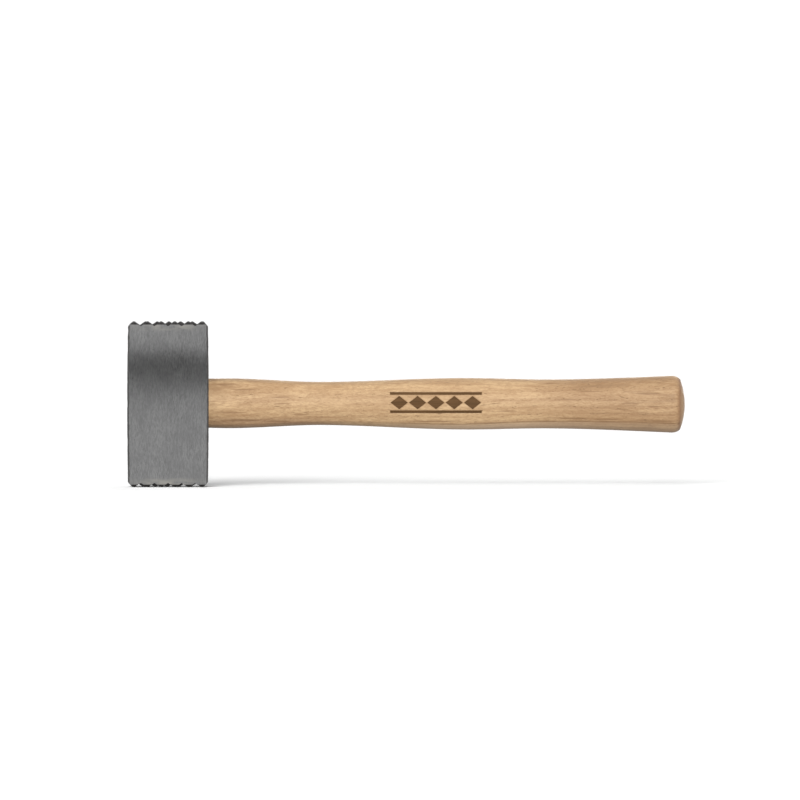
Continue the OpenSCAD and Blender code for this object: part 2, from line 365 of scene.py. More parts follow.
def dents(side, y, z):
    """Depth of a forged side below its ideal face: die marks, scale and pits about a mean depth."""
    points = np.column_stack([side * np.ones_like(y), y, z])
    ripple = wobble(points * (1, 0.25, 1), 3.6 * MM, 1) * 0.27 * MM
    scale = wobble(points, 1.5 * MM, 2) * 0.11 * MM
    pits = np.maximum(0, wobble(points, 2.6 * MM, 3) - 0.3) * 0.3 * MM
    return np.maximum(0, 0.11 * MM + ripple + scale + pits)


def proud(x, z):
    """How far the forged cheek stood proud of the ground one, next to the upright edges."""
    points = np.column_stack([np.sign(x), np.zeros_like(x), z])
    height_mm = 0.085 + wobble(points, 1.4 * MM, 4) * 0.08 + wobble(points, 6 * MM, 5) * 0.05
    return np.maximum(height_mm, 0.045) * MM


def round_corner(x, y):
    """Moves points of a square near its corners so that the corners turn at EDGE_R."""
    a = (np.abs(x) - SIDE_X + EDGE_R) / EDGE_R
    b = (np.abs(y) - CHEEK_Y + EDGE_R) / EDGE_R
    inside = (a > 0) & (b > 0)
    a, b = np.clip(a, 0, 1), np.clip(b, 0, 1)
    x_round = np.sign(x) * (SIDE_X - EDGE_R + EDGE_R * a * np.sqrt(1 - b * b / 2))
    y_round = np.sign(y) * (CHEEK_Y - EDGE_R + EDGE_R * b * np.sqrt(1 - a * a / 2))
    return np.where(inside, x_round, x), np.where(inside, y_round, y)


def grid_lines():
    """Lines across the square head, evenly spaced over the teeth and closer at the corners."""
    mid = np.arange(-CHEEK_Y + EDGE_R, CHEEK_Y - EDGE_R + 1e-7, ROW_PITCH / ROW_CELLS)
    corner = np.linspace(0, EDGE_R, CORNER_CELLS, endpoint=False)
    return np.concatenate([-CHEEK_Y + corner, mid, (CHEEK_Y - corner)[::-1]])


def wall_points(ring_x, ring_y, levels):
    """Points of the four walls, and how far the forged surface stood out past the cheeks at each."""
    top_z = rim_height(ring_x * END_SCALE, ring_y)
    low_z = HEAD_H - rim_height(-ring_x * END_SCALE, ring_y)
    wall_z = low_z + (top_z - low_z) * levels[:, None]
    x, y = (np.broadcast_to(ring, wall_z.shape).ravel() for ring in (ring_x, ring_y))
    z = wall_z.ravel()
    forged_y = y * (1 + proud(x, z) / CHEEK_Y)
    limit = np.full(wall_z.shape, CHEEK_Y)
    limit[[0, -1]] -= RIM_DEPTH
    wall_y = np.clip(forged_y, -limit.ravel(), limit.ravel())
    sideways = ease((np.abs(x) - SIDE_X + EDGE_R) / EDGE_R)
    wall_x = x * side_at(z) / SIDE_X - np.sign(x) * sideways * dents(np.sign(x), y, z)
    return np.column_stack([wall_x, wall_y, z]), np.abs(forged_y) - CHEEK_Y


def end_points(x, y, flip):
    """Points of the upper end (flip 1) or of the lower one, which is the same turned over (flip -1)."""
    x = x * END_SCALE
    height = top_height(flip * x, y)
    z = height if flip == 1 else HEAD_H - height
    return np.column_stack([x.ravel(), y.ravel(), z.ravel()])


def oval(x, grow, angles):
    """Outline of the handle at x, grown all round, as [y, z] rows at these angles about its axis."""
    outline = section(x, grow)
    around = np.arctan2(outline[:, 1], outline[:, 0])
    order = np.argsort(around)
    reach = np.interp(angles, around[order], np.hypot(*outline[order].T), period=2 * math.pi)
    return np.column_stack([reach * np.cos(angles), reach * np.sin(angles)])


def eye_ring(x, yz):
    """Points at x, from [y, z] rows about the eye's axis."""
    return np.column_stack([np.broadcast_to(x, len(yz)), yz[:, 0], yz[:, 1] + AXIS_Z])


def eye_mouth(side, loop):
    """Rings from a loop of wall points to the eye's mouth and down its chamfer, and their angles."""
    loop_yz = loop[:, 1:] - (0, AXIS_Z)
    angles = np.arctan2(loop_yz[:, 1], loop_yz[:, 0])
    mouth = oval(side * SIDE_X, EYE_CHAMFER, angles)
    rings = []
    for share in (0.2, 0.4, 0.6, 0.8, 0.93, 1.0):
        yz = loop_yz + (mouth - loop_yz) * share
        z = yz[:, 1] + AXIS_Z
        x = side_at(z) - dents(np.full(len(z), side), yz[:, 0], z)
        rings.append(eye_ring(side * x, yz))
    for depth, grow in ((0.08, 0.9), (0.5, 0.45), (0.95, 0.08)):
        x = side * (SIDE_X - depth * EYE_CHAMFER - EYE_INSET)
        rings.append(eye_ring(x, oval(x, grow * EYE_CHAMFER, angles)))
    return rings, angles


def eye_bore(angles):
    """Rings along the eye between its two chamfers."""
    end = SIDE_X - BORE_INSET
    return [eye_ring(x, oval(x, EYE_GAP, angles)) for x in np.linspace(end, -end, BORE_RINGS)]


# ---------------------------------------------------------------- mesh helpers


def block_path(a0, a1, b0, b1):
    """Two rows of line numbers that step round a block of a grid: out along b0 and back along b1."""
    wide, tall = a1 - a0, b1 - b0
    a = [np.arange(a0, a1), np.full(tall, a1), np.arange(a1, a0, -1), np.full(tall, a0)]
    b = [np.full(wide, b0), np.arange(b0, b1), np.full(wide, b1), np.arange(b1, b0, -1)]
    return np.concatenate(a), np.concatenate(b)


def quads_between(rings):
    """Quads that join each row of vertex numbers to the next, closed round each row."""
    following = np.roll(rings, -1, axis=1)
    quads = [rings[:-1], following[:-1], following[1:], rings[1:]]
    return np.stack(quads, axis=-1).reshape(-1, 4)


def quads_of(grid):
    """Quads of a square grid of vertex numbers."""
    quads = [grid[:-1, :-1], grid[1:, :-1], grid[1:, 1:], grid[:-1, 1:]]
    return np.stack(quads, axis=-1).reshape(-1, 4)


def plain_object(name, points, faces):
    """An object from points and faces as they are."""
    mesh = bpy.data.meshes.new(name)
    mesh.from_pydata(points, [], faces)
    thing = bpy.data.objects.new(name, mesh)
    bpy.context.scene.collection.objects.link(thing)
    return thing


def mesh_object(name, points, faces, materials, face_materials=None):
    """A smooth-shaded object without the points that no face uses, and the numbers of the rest."""
    used = np.unique(np.concatenate([np.ravel(f) for f in faces]))
    renumber = np.zeros(len(points), int)
    renumber[used] = np.arange(len(used))
    faces = [renumber[np.asarray(f)].tolist() for f in faces]
    piece = plain_object(name, points[used].tolist(), faces)
    mesh = piece.data
    mesh.polygons.foreach_set("use_smooth", np.ones(len(faces), bool))
    for material in materials:
        mesh.materials.append(material)
    if face_materials is not None:
        mesh.polygons.foreach_set("material_index", face_materials)
    mesh.validate()
    return piece, used


def point_array(mesh):
    """The mesh's points as rows of x, y, z."""
    points = np.empty(len(mesh.vertices) * 3)
    mesh.vertices.foreach_get("co", points)
    return points.reshape(-1, 3)


def add_attribute(mesh, name, values):
    """A number on each point of the mesh, which its material reads by name."""
    attribute = mesh.attributes.new(name, "FLOAT", "POINT")
    attribute.data.foreach_set("value", values.astype(np.float32))


def block(name, low, high, taper=1.0):
    """A plain box, its +X end narrowed along Y: a cutter."""
    xs, ys, zs = zip(low, high)
    points = [(x, y * (taper if x == high[0] else 1), z) for x in xs for y in ys for z in zs]
    faces = [(0, 1, 3, 2), (4, 6, 7, 5), (0, 4, 5, 1), (2, 3, 7, 6), (0, 2, 6, 4), (1, 5, 7, 3)]
    return plain_object(name, points, faces)


def cut(piece, cutters):
    """Takes the cutters' solids out of the piece, for good."""
    for cutter in cutters:
        step = piece.modifiers.new(cutter.name, "BOOLEAN")
        step.operation = "DIFFERENCE"
        step.solver = "EXACT"
        step.object = cutter
    graph = bpy.context.evaluated_depsgraph_get()
    mesh = bpy.data.meshes.new_from_object(piece.evaluated_get(graph))
    piece.modifiers.clear()
    piece.data = mesh


# ---------------------------------------------------------------- material helpers


class Shader:
    """A material with one Principled surface, and short calls for the nodes that feed it."""

    def __init__(self, name):
        self.material = bpy.data.materials.new(name)
        self.material.use_nodes = True
        self.tree = self.material.node_tree
        self.surface = self.tree.nodes["Principled BSDF"]
        self.object = self.tree.nodes.new("ShaderNodeTexCoord").outputs["Object"]

    def join(self, value, socket):
        """Links an output to a socket, or sets the socket to a plain value."""
        if isinstance(value, bpy.types.NodeSocket):
            self.tree.links.new(value, socket)
        else:
            socket.default_value = value

    def set(self, **values):
        """Sets sockets of the surface, named with _ for a space."""
        for name, value in values.items():
            self.join(value, self.surface.inputs[name.replace("_", " ")])

    def place(self, scale, shift=(0, 0, 0), vector=None):
        """A vector, or else the object coordinates in metres, multiplied by scale and shifted."""
        node = self.tree.nodes.new("ShaderNodeMapping")
        self.join(self.object if vector is None else vector, node.inputs["Vector"])
        node.inputs["Scale"].default_value = scale
        node.inputs["Location"].default_value = shift
        return node.outputs["Vector"]

    def noise(self, scale, detail=3, rough=0.5, distort=0, shift=(0, 0, 0), out="Fac"):
        """Noise whose features per metre are given along each axis."""
        node = self.tree.nodes.new("ShaderNodeTexNoise")
        self.join(self.place(scale, shift), node.inputs["Vector"])
        node.inputs["Scale"].default_value = 1
        node.inputs["Detail"].default_value = detail
        node.inputs["Roughness"].default_value = rough
        node.inputs["Distortion"].default_value = distort
        return node.outputs[out]

    def warped(self, scale, reach, **options):
        """Object coordinates, each moved by up to half of its reach by noise."""
        bend = self.noise(scale, out="Color", **options)
        node = self.tree.nodes.new("ShaderNodeVectorMath")
        self.join(self.object, node.inputs[0])
        self.join(self.place(reach, [-r / 2 for r in reach], bend), node.inputs[1])
        return node.outputs[0]

    def math(self, operation, a, b=0.0):
        """A Math node."""
        node = self.tree.nodes.new("ShaderNodeMath")
        node.operation = operation
        self.join(a, node.inputs[0])
        self.join(b, node.inputs[1])
        return node.outputs[0]

    def product(self, a, b):
        """One number times another."""
        return self.math("MULTIPLY", a, b)

    def length(self, vector):
        """The length of a vector."""
        node = self.tree.nodes.new("ShaderNodeVectorMath")
        node.operation = "LENGTH"
        self.join(vector, node.inputs[0])
        return node.outputs["Value"]

    def step(self, value, low, high, to=(0, 1)):
        """Smooth step of value from low to high."""
        node = self.tree.nodes.new("ShaderNodeMapRange")
        node.interpolation_type = "SMOOTHSTEP"
        self.join(value, node.inputs["Value"])
        node.inputs["From Min"].default_value = low
        node.inputs["From Max"].default_value = high
        node.inputs["To Min"].default_value = to[0]
        node.inputs["To Max"].default_value = to[1]
        return node.outputs["Result"]

    def mix(self, share, a, b, blend="MIX"):
        """Colour a turning into b as share goes from 0 to 1."""
        node = self.tree.nodes.new("ShaderNodeMix")
        node.data_type = "RGBA"
        node.blend_type = blend
        self.join(share, node.inputs["Factor"])
        self.join(a if isinstance(a, bpy.types.NodeSocket) else (*a, 1), node.inputs["A"])
        self.join(b if isinstance(b, bpy.types.NodeSocket) else (*b, 1), node.inputs["B"])
        return node.outputs["Result"]

    def blend(self, share, a, b):
        """Number a turning into b as share goes from 0 to 1."""
        node = self.tree.nodes.new("ShaderNodeMix")
        self.join(share, node.inputs["Factor"])
        self.join(a, node.inputs["A"])
        self.join(b, node.inputs["B"])
        return node.outputs["Result"]

    def split(self, vector=None):
        """The x, y and z of a vector, or else of the object coordinates."""
        node = self.tree.nodes.new("ShaderNodeSeparateXYZ")
        self.join(self.object if vector is None else vector, node.inputs[0])
        return node.outputs

    def attribute(self, name):
        """The number that the mesh holds under this name."""
        node = self.tree.nodes.new("ShaderNodeAttribute")
        node.attribute_name = name
        return node.outputs["Fac"]

    def bump(self, height, depth):
        """Bump of the surface by height times depth, in metres."""
        node = self.tree.nodes.new("ShaderNodeBump")
        node.inputs["Distance"].default_value = depth
        self.join(height, node.inputs["Height"])
        self.join(node.outputs["Normal"], self.surface.inputs["Normal"])


# ---------------------------------------------------------------- steel


def scale_look(s):
    """Colour, roughness and height of black forge scale, patchy and worn grey on high spots."""
    patches = s.noise((330, 330, 330), 6, 0.72)
    specks = s.noise((1500, 1500, 1500), 3, 0.6)
    colour = s.mix(s.step(patches, 0.32, 0.70), (0.084, 0.082, 0.080), (0.142, 0.137, 0.132))
    rust = s.step(s.noise((420, 420, 420), 4, 0.6, shift=(3, 1, 2)), 0.6, 0.74, (0, 0.35))
    colour = s.mix(rust, colour, (0.095, 0.070, 0.055))
    worn = s.step(s.product(specks, patches), 0.34, 0.44, (0, 0.55))
    colour = s.mix(worn, colour, (0.21, 0.205, 0.20))
    rough = s.blend(worn, s.step(specks, 0.3, 0.7, (0.5, 0.68)), 0.38)
    height = s.blend(0.4, patches, specks)
    return colour, rough, height


def from_middle(s):
    """How far a point of the head is from its mid height."""
    return s.math("ABSOLUTE", s.math("SUBTRACT", s.split()[2], MID_Z))


def rubbed_ends(s):
    """Share of bright rubbed steel: patches in the middle of a cheek's ends, beside the teeth."""
    ends = s.step(from_middle(s), MID_Z - 5.5 * MM, MID_Z - 2.2 * MM)
    patchy = s.step(s.noise((160, 160, 500), 2, 0.5, shift=(1, 2, 6)), 0.3, 0.65)
    centred = s.step(s.math("ABSOLUTE", s.split()[0]), 6 * MM, 16 * MM, (1, 0.25))
    return s.product(s.product(ends, patchy), centred)


def ground_steel():
    """Cheeks ground along Z: fine upright lines in bright steel, scale left along the edges."""
    s = Shader("ground_steel")
    fine = s.noise((2600, 2600, 520), 4, 0.7)
    broad = s.noise((1100, 1100, 170), 3, 0.5, 0.3, shift=(2, 5, 1))
    clouds = s.noise((110, 110, 80), 3, 0.55, 0.4)
    lines = s.blend(0.25, fine, broad)
    colour = s.mix(s.step(lines, 0.3, 0.7), (0.232, 0.232, 0.232), (0.382, 0.382, 0.382))
    colour = s.mix(s.step(clouds, 0.35, 0.75, (0, 0.5)), colour, (0.236, 0.236, 0.238))
    flecks = s.step(s.noise((1400, 1400, 500), 2, 0.6, shift=(7, 1, 4)), 0.66, 0.74, (0, 0.5))
    colour = s.mix(flecks, colour, (0.13, 0.13, 0.13))
    colour = s.mix(rubbed_ends(s), colour, (0.45, 0.435, 0.40))

    # Scale is left where the forged surface lay too low for the grinder.
    scale_colour, scale_rough, scale_height = scale_look(s)
    ragged = s.step(s.noise((1800, 1800, 1800), 3), 0, 1, (-0.02 * MM, 0.02 * MM))
    edge = s.math("ADD", s.attribute("ground"), ragged)
    scale = s.step(edge, -0.015 * MM, 0.025 * MM, (0.86, 0))
    s.set(
        Base_Color=s.mix(scale, colour, scale_colour),
        Roughness=s.blend(scale, s.step(lines, 0.25, 0.75, (0.32, 0.42)), scale_rough),
        Metallic=1.0,
        Anisotropic=0.85,
    )
    tangent = s.tree.nodes.new("ShaderNodeTangent")
    tangent.direction_type = "RADIAL"
    tangent.axis = "Z"
    s.join(tangent.outputs["Tangent"], s.surface.inputs["Tangent"])
    s.bump(s.blend(scale, lines, scale_height), 0.02 * MM)
    return s.material


def forged_scale():
    """Sides and shoulders as they left the forge."""
    s = Shader("forged_scale")
    colour, rough, height = scale_look(s)
    s.set(Base_Color=colour, Roughness=rough, Metallic=1.0)
    s.bump(height, 0.09 * MM)
    return s.material


def black_teeth():
    """Hardened teeth: brown-black, rubbed to dull grey on their tips."""
    s = Shader("black_teeth")
    patches = s.noise((500, 500, 500), 4, 0.6)
    colour = s.mix(s.step(patches, 0.35, 0.7), (0.034, 0.032, 0.032), (0.066, 0.062, 0.060))
    tips = s.math("ADD", from_middle(s), s.step(patches, 0, 1, (-0.25 * MM, 0.25 * MM)))
    worn = s.step(tips, MID_Z - 0.30 * MM, MID_Z - 0.02 * MM, (0, 0.5))
    colour = s.mix(worn, colour, (0.16, 0.155, 0.15))
    rough = s.blend(worn, s.step(patches, 0.3, 0.7, (0.42, 0.6)), 0.34)
    s.set(Base_Color=colour, Roughness=rough, Metallic=1.0)
    s.bump(patches, 0.04 * MM)
    return s.material


def wedge_steel():
    """Wedges of dull cut steel, hammered ends."""
    s = Shader("wedge_steel")
    patches = s.noise((600, 600, 600), 5, 0.6)
    lines = s.noise((300, 60, 3000), 2, 0.5)
    colour = s.mix(s.step(patches, 0.35, 0.7), (0.150, 0.143, 0.137), (0.270, 0.258, 0.246))
    rust = s.step(s.noise((350, 350, 350), 4, 0.6, shift=(2, 9, 4)), 0.56, 0.7, (0, 0.6))
    colour = s.mix(rust, colour, (0.16, 0.085, 0.05))
    s.set(Base_Color=colour, Roughness=s.step(patches, 0.3, 0.7, (0.36, 0.55)), Metallic=1.0)
    s.bump(s.blend(0.5, patches, lines), 0.06 * MM)
    return s.material


# ---------------------------------------------------------------- wood


def growth_rings(s, pith_y, pith_z, slant, ring_pitch):
    """Share of porous early wood: thin rings about a pith line that leans by slant along X."""
    x, y, z = s.split(s.warped((9, 40, 40), (5 * MM,) * 3, detail=2))
    y = s.math("ADD", s.math("SUBTRACT", y, pith_y), s.product(x, slant))
    z = s.math("SUBTRACT", z, pith_z)
    radius = s.math("SQRT", s.math("ADD", s.product(y, y), s.product(z, z)))
    growth = s.math("FRACT", s.math("DIVIDE", radius, ring_pitch))
    return s.product(s.step(growth, 0.0, 0.12), s.step(growth, 0.25, 0.6, (1, 0)))


def wood_look(s, early, light, middle, dark):
    """Colour, roughness and height of a ring-porous wood whose grain runs along X."""
    broad = s.noise((24, 190, 190), 4, 0.6, 0.5)
    fibre = s.noise((430, 1300, 1300), 5, 0.75)
    streak = s.noise((80, 620, 620), 5, 0.65, 0.8, shift=(4, 1, 7))
    pores = s.noise((420, 2100, 2100), 3, 0.65, shift=(1, 8, 3))
    dashes = s.noise((95, 950, 950), 3, 0.6, 0.8, shift=(6, 2, 9))

    colour = s.mix(s.step(broad, 0.35, 0.66), light, middle)
    colour = s.mix(s.step(streak, 0.46, 0.70, (0, 0.60)), colour, dark)
    colour = s.mix(s.product(early, 0.30), colour, dark)
    colour = s.mix(s.step(fibre, 0.38, 0.70, (0, 0.58)), colour, dark)
    porous = s.product(s.step(pores, 0.58, 0.68), s.step(early, 0, 1, (0.3, 0.85)))
    dashed = s.step(dashes, 0.67, 0.74, (0, 0.75))
    marks = s.math("MAXIMUM", porous, dashed)
    colour = s.mix(marks, colour, tuple(c * 0.55 for c in dark))
    height = s.math("SUBTRACT", s.product(fibre, 0.35), marks)
    rough = s.blend(marks, s.step(fibre, 0.3, 0.7, (0.50, 0.60)), 0.7)
    return colour, rough, height


def placed(s, places, solid):
    """Share of the marked cheek's listed patches: whole out to the given part of their size."""
    ragged = s.warped((90, 90, 500), (4 * MM, 0, 1 * MM), rough=0.6)
    total = 0.0
    for x, z, half_l, half_h in places:
        scale = 1 / (half_l * MM), 0, 1 / (half_h * MM)
        centred = s.place(scale, (-x / half_l, 0, -z / half_h), ragged)
        total = s.math("MAXIMUM", total, s.step(s.length(centred), solid, 1.1, (1, 0)))
    return s.product(total, s.step(s.split()[1], -3 * MM, -1 * MM, (1, 0)))


def aged(s, colour):
    """The colour darkened towards the grip's end, and stained brown out of the eye."""
    x, _, z = s.split()
    grip = s.step(x, 170 * MM, 215 * MM)
    colour = s.mix(grip, colour, (0.845, 0.815, 0.80), "MULTIPLY")
    streaks = s.step(s.noise((26, 480, 480), 4, 0.6, 0.5, shift=(8, 8, 1)), 0.50, 0.66, (0, 0.45))
    colour = s.mix(s.product(grip, streaks), colour, (0.24, 0.145, 0.078))
    stain = s.step(s.noise((60, 260, 260), 4, 0.6, 0.6, shift=(5, 5, 5)), 0.36, 0.60)
    by_head = s.step(x, 24 * MM, 62 * MM, (1, 0))
    upper = s.step(z, 44 * MM, 50 * MM, (0.1, 0.75))
    stain = s.product(stain, s.product(by_head, upper))
    return s.mix(stain, colour, (0.27, 0.160, 0.080))


def figured(s, colour):
    """The colour with painted highlights and dark strokes, and with flecks and painted shade under the
    neck.
    """
    x, _, z = s.split()
    fibres = s.noise((55, 420, 420), 4, 0.6, 0.5, shift=(3, 6, 2))
    # Painted highlights: the listed places are lightened where the light falls brightest, less so past
    # 60 mm.
    pale = s.product(placed(s, PAINTED_HIGHLIGHTS, 0.1), s.step(fibres, 0.35, 0.6, (0.2, 0.75)))
    pale = s.product(pale, s.step(x, 40 * MM, 60 * MM, (0.85, 0.4)))
    colour = s.mix(pale, colour, (0.62, 0.435, 0.245))
    colour = s.mix(s.product(placed(s, STROKES, 0.35), 0.6), colour, (0.20, 0.112, 0.055))
    flecks = s.step(s.noise((520, 1700, 1700), 3, 0.7, shift=(9, 4, 2)), 0.46, 0.68, (0, 0.5))
    flecks = s.product(flecks, s.step(x, 95 * MM, 130 * MM, (1, 0)))
    colour = s.mix(flecks, colour, (0.27, 0.158, 0.080))
    # Painted shade along the underside of the neck, fading out by 100 mm along the handle.
    neck = s.step(x, 60 * MM, 100 * MM, (1, 0))
    underside_shade = s.product(neck, s.step(z, 32.5 * MM, 36 * MM, (1, 0)))
    return s.mix(underside_shade, colour, (0.80, 0.77, 0.79), "MULTIPLY")


def handled(s, colour):
    """The colour with a painted sheen under the grip, rubbed brown on the ridges, with darker end
    grain.
    """
    # Painted sheen: the band under the grip lightened towards a greyish tan.
    under = s.product(s.attribute("under"), 0.45)
    colour = s.mix(under, colour, (0.60, 0.440, 0.310))
    rubbed = s.step(s.noise((70, 900, 900), 3, 0.6, shift=(2, 7, 7)), 0.35, 0.6, (0.25, 0.9))
    colour = s.mix(s.product(s.attribute("ridge"), rubbed), colour, (0.20, 0.115, 0.060))
    centre = s.step(s.split()[0], TIP_X - 2.4 * MM, TIP_X - 1.2 * MM)
    end_colour = s.mix(centre, (0.19, 0.100, 0.052), (0.29, 0.170, 0.080))
    return s.mix(s.product(s.attribute("end_grain"), 0.68), colour, end_colour)


def burnt(s, colour):
    """The colour with the band burnt into it, and the share of char."""
    singe = s.step(s.noise((700, 1400, 1400), 3), 0, 1, (-0.07 * MM, 0.07 * MM))
    ragged = s.math("ADD", s.attribute("burn"), singe)
    halo = s.step(ragged, 0.0, 0.55 * MM, (0.30, 0))
    colour = s.mix(halo, colour, (0.16, 0.085, 0.038))
    char = s.step(ragged, -0.06 * MM, 0.05 * MM, (1, 0))
    embers = s.step(s.noise((45, 1300, 1300), 3), 0.35, 0.7)
    charcoal = s.mix(embers, (0.062, 0.028, 0.006), (0.092, 0.043, 0.013))
    return s.mix(s.product(char, 0.96), colour, charcoal), char


def handle_wood():
    """Ash, sanded and lacquered, darkened by use, with the band burnt into it."""
    s = Shader("handle_wood")
    early = growth_rings(s, 62 * MM, -12 * MM, 0.03, 2.6 * MM)
    light, middle, dark = (0.519, 0.357, 0.199), (0.440, 0.289, 0.157), (0.29, 0.169, 0.083)
    colour, rough, height = wood_look(s, early, light, middle, dark)
    colour, char = burnt(s, handled(s, figured(s, aged(s, colour))))
    s.set(
        Base_Color=colour,
        Roughness=s.blend(char, rough, 0.72),
        Specular_IOR_Level=0.2,
        Sheen_Weight=0.1,
        Sheen_Roughness=0.4,
    )
    s.bump(height, 0.05 * MM)
    return s.material


def wedge_wood():
    """Hardwood wedge: darker than the handle, seen on its sawn end."""
    s = Shader("wedge_wood")
    early = growth_rings(s, -40 * MM, 90 * MM, 0.0, 1.4 * MM)
    light, middle, dark = (0.34, 0.20, 0.11), (0.26, 0.15, 0.08), (0.15, 0.08, 0.045)
    colour, rough, height = wood_look(s, early, light, middle, dark)
    saw = s.noise((40, 220, 2600), 2, 0.5)
    s.set(Base_Color=colour, Roughness=s.step(rough, 0.3, 0.7, (0.6, 0.85)))
    s.bump(s.math("ADD", height, s.product(saw, 0.5)), 0.06 * MM)
    return s.material


# ---------------------------------------------------------------- pieces


def wall_faces(walls, points, eye_j, eye_k):
    """Quads of the walls without the two blocks that the eye takes, and their materials."""
    quads = quads_between(walls)
    per_side = walls.shape[1] // 4
    level, around = np.divmod(np.arange(len(quads)), 4 * per_side)
    (j0, j1), (k0, k1) = eye_j, eye_k
    in_plus = (around >= per_side + j0) & (around < per_side + j1)
    in_minus = (around >= 4 * per_side - j1) & (around < 4 * per_side - j0)
    in_eye = (level >= k0) & (level < k1) & (in_plus | in_minus)
    quads, around = quads[~in_eye], around[~in_eye]
    on_side = ((around >= per_side) & (around < 2 * per_side)) | (around >= 3 * per_side)
    y = np.abs(points[quads].mean(axis=1)[:, 1])
    return quads, np.where(on_side & (y < CHEEK_Y - EDGE_R / 2), FORGED, GROUND)


def make_head():
    """The head as one closed mesh: four walls, two toothed ends and the eye through it."""
    lines = grid_lines()
    n = len(lines) - 1
    grid_x, grid_y = round_corner(*np.meshgrid(lines, lines, indexing="ij"))

    # Walls, from the lower teeth up to the upper ones, with a broken edge at both ends. The
    # steps round them go along the front cheek, the +X side, the back cheek and the -X side.
    ring_i, ring_j = block_path(0, n, 0, n)
    rim_share = RIM / HEAD_H
    levels = np.concatenate([[0], np.linspace(rim_share, 1 - rim_share, WALL_CELLS - 1), [1]])
    around, stood_out = wall_points(grid_x[ring_i, ring_j], grid_y[ring_i, ring_j], levels)
    walls = np.arange(len(around)).reshape(len(levels), 4 * n)
    points = [around]

    # Toothed ends share their rims with the walls.
    end_quads = []
    for level, flip in ((-1, 1), (0, -1)):
        inner = end_points(grid_x[1:-1, 1:-1], grid_y[1:-1, 1:-1], flip)
        grid = np.zeros((n + 1, n + 1), int)
        grid[1:-1, 1:-1] = sum(map(len, points)) + np.arange(len(inner)).reshape(n - 1, n - 1)
        grid[ring_i, ring_j] = walls[level]
        points.append(inner)
        end_quads.append(quads_of(grid)[:, ::flip])

    # A block of each side wall is left out for the eye, and rings lead from it through the head.
    eye_j = np.searchsorted(lines, (-CLEAR_Y, CLEAR_Y))
    side_levels = SHOULDER_H + (HEAD_H - 2 * SHOULDER_H) * levels
    eye_k = np.searchsorted(side_levels, (AXIS_Z - CLEAR_Z, AXIS_Z + CLEAR_Z))
    path_j, path_k = block_path(*eye_j, *eye_k)
    plus_loop, minus_loop = walls[path_k, n + path_j], walls[path_k, 4 * n - path_j]
    plus, angles = eye_mouth(1, around[plus_loop])
    minus, _ = eye_mouth(-1, around[minus_loop])
    rings = plus + eye_bore(angles) + minus[::-1]
    ids = sum(map(len, points)) + np.arange(len(rings) * len(path_j)).reshape(-1, len(path_j))
    eye_quads = quads_between(np.concatenate([plus_loop[None], ids, minus_loop[None]]))
    points = np.concatenate(points + rings)

    wall_quads, wall_looks = wall_faces(walls, around, eye_j, eye_k)
    faces = np.concatenate([wall_quads, *end_quads, eye_quads])
    looks = np.full(len(faces), TOOTHED)
    looks[:len(wall_quads)] = wall_looks
    looks[-len(eye_quads):] = FORGED

    # The shoulders are forged up to just below the tips, where the teeth's black begins.
    centres = points[faces].mean(axis=1)
    shoulder = (looks == TOOTHED) & (np.abs(centres[:, 0]) > SIDE_X - SHOULDER_W)
    shoulder &= np.abs(centres[:, 2] - MID_Z) < MID_Z - SHOULDER_H * 0.3
    looks[shoulder] = FORGED
    materials = [ground_steel(), forged_scale(), black_teeth()]
    head, used = mesh_object("steel_head", points, faces, materials, looks)
    ground = np.full(len(points), NOT_GROUND)
    ground[:len(around)] = stood_out
    add_attribute(head.data, "ground", ground[used])

    # The line where the teeth start is crisp.
    rim = set(np.searchsorted(used, np.concatenate([walls[0], walls[-1]])).tolist())
    for edge in head.data.edges:
        edge.use_edge_sharp = edge.vertices[0] in rim and edge.vertices[1] in rim
    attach(head, "root")
    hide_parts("head")
    return head


def cut_for_wedges(handle):
    """Cuts the tapered slot, the kerf beyond it and the steel wedges' places into the tenon."""
    half = HEAD_H / 4
    slot_end = TENON_END_X + WEDGE_L
    slot = block(
        "slot",
        (TENON_END_X - SLOT_PAST_END, -WEDGE_T / 2, AXIS_Z - half),
        (slot_end, WEDGE_T / 2, AXIS_Z + half),
        KERF_W / WEDGE_T,
    )
    kerf = block(
        "kerf",
        (slot_end - KERF_OVERLAP, -KERF_W / 2, AXIS_Z - half),
        (slot_end + KERF_EXTRA, KERF_W / 2, AXIS_Z + half),
    )
    cut(handle, [slot, kerf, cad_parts["steel_wedge_upper"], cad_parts["steel_wedge_lower"]])
    for cutter in (slot, kerf):
        bpy.data.objects.remove(cutter)


def make_handle():
    """The handle: a fine sweep with the band burnt into it and the wedges' slots cut."""
    rings = handle_rings()
    ids = np.arange(sum(map(len, rings))).reshape(-1, len(rings[0]))
    points = sanded(np.concatenate(rings))
    depth = MARK_DEPTH * ease((MARK_WALL / 2 - band_distance(points)) / MARK_WALL)
    points = points + (0, 1, 0) * depth[:, None]
    faces = quads_between(ids).tolist() + [ids[0][::-1].tolist(), ids[-1].tolist()]
    handle, _ = mesh_object("ash_handle", points, faces, [handle_wood()])
    cut_for_wedges(handle)

    points = point_array(handle.data)
    tenon_end = 1 - ease((points[:, 0] - TENON_END_X) / (0.2 * MM))
    dome = ease((points[:, 0] - GRIP_END_X - CORNER_LEN * 0.55) / (CORNER_LEN * 0.35))
    ridge, under = handling(points)
    add_attribute(handle.data, "burn", band_distance(points))
    add_attribute(handle.data, "end_grain", np.maximum(tenon_end, dome))
    add_attribute(handle.data, "ridge", ridge)
    add_attribute(handle.data, "under", under)
    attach(handle, "root")
    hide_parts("handle")
    return handle


def dress_wedges():
    """The wedges stay as the part's own nodes, with real finishes."""
    wood, steel = wedge_wood(), wedge_steel()
    finishes = {"wooden_wedge": wood, "steel_wedge_upper": steel, "steel_wedge_lower": steel}
    for name, material in finishes.items():
        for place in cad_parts[name].material_slots:
            place.material = material


# ---------------------------------------------------------------- stage


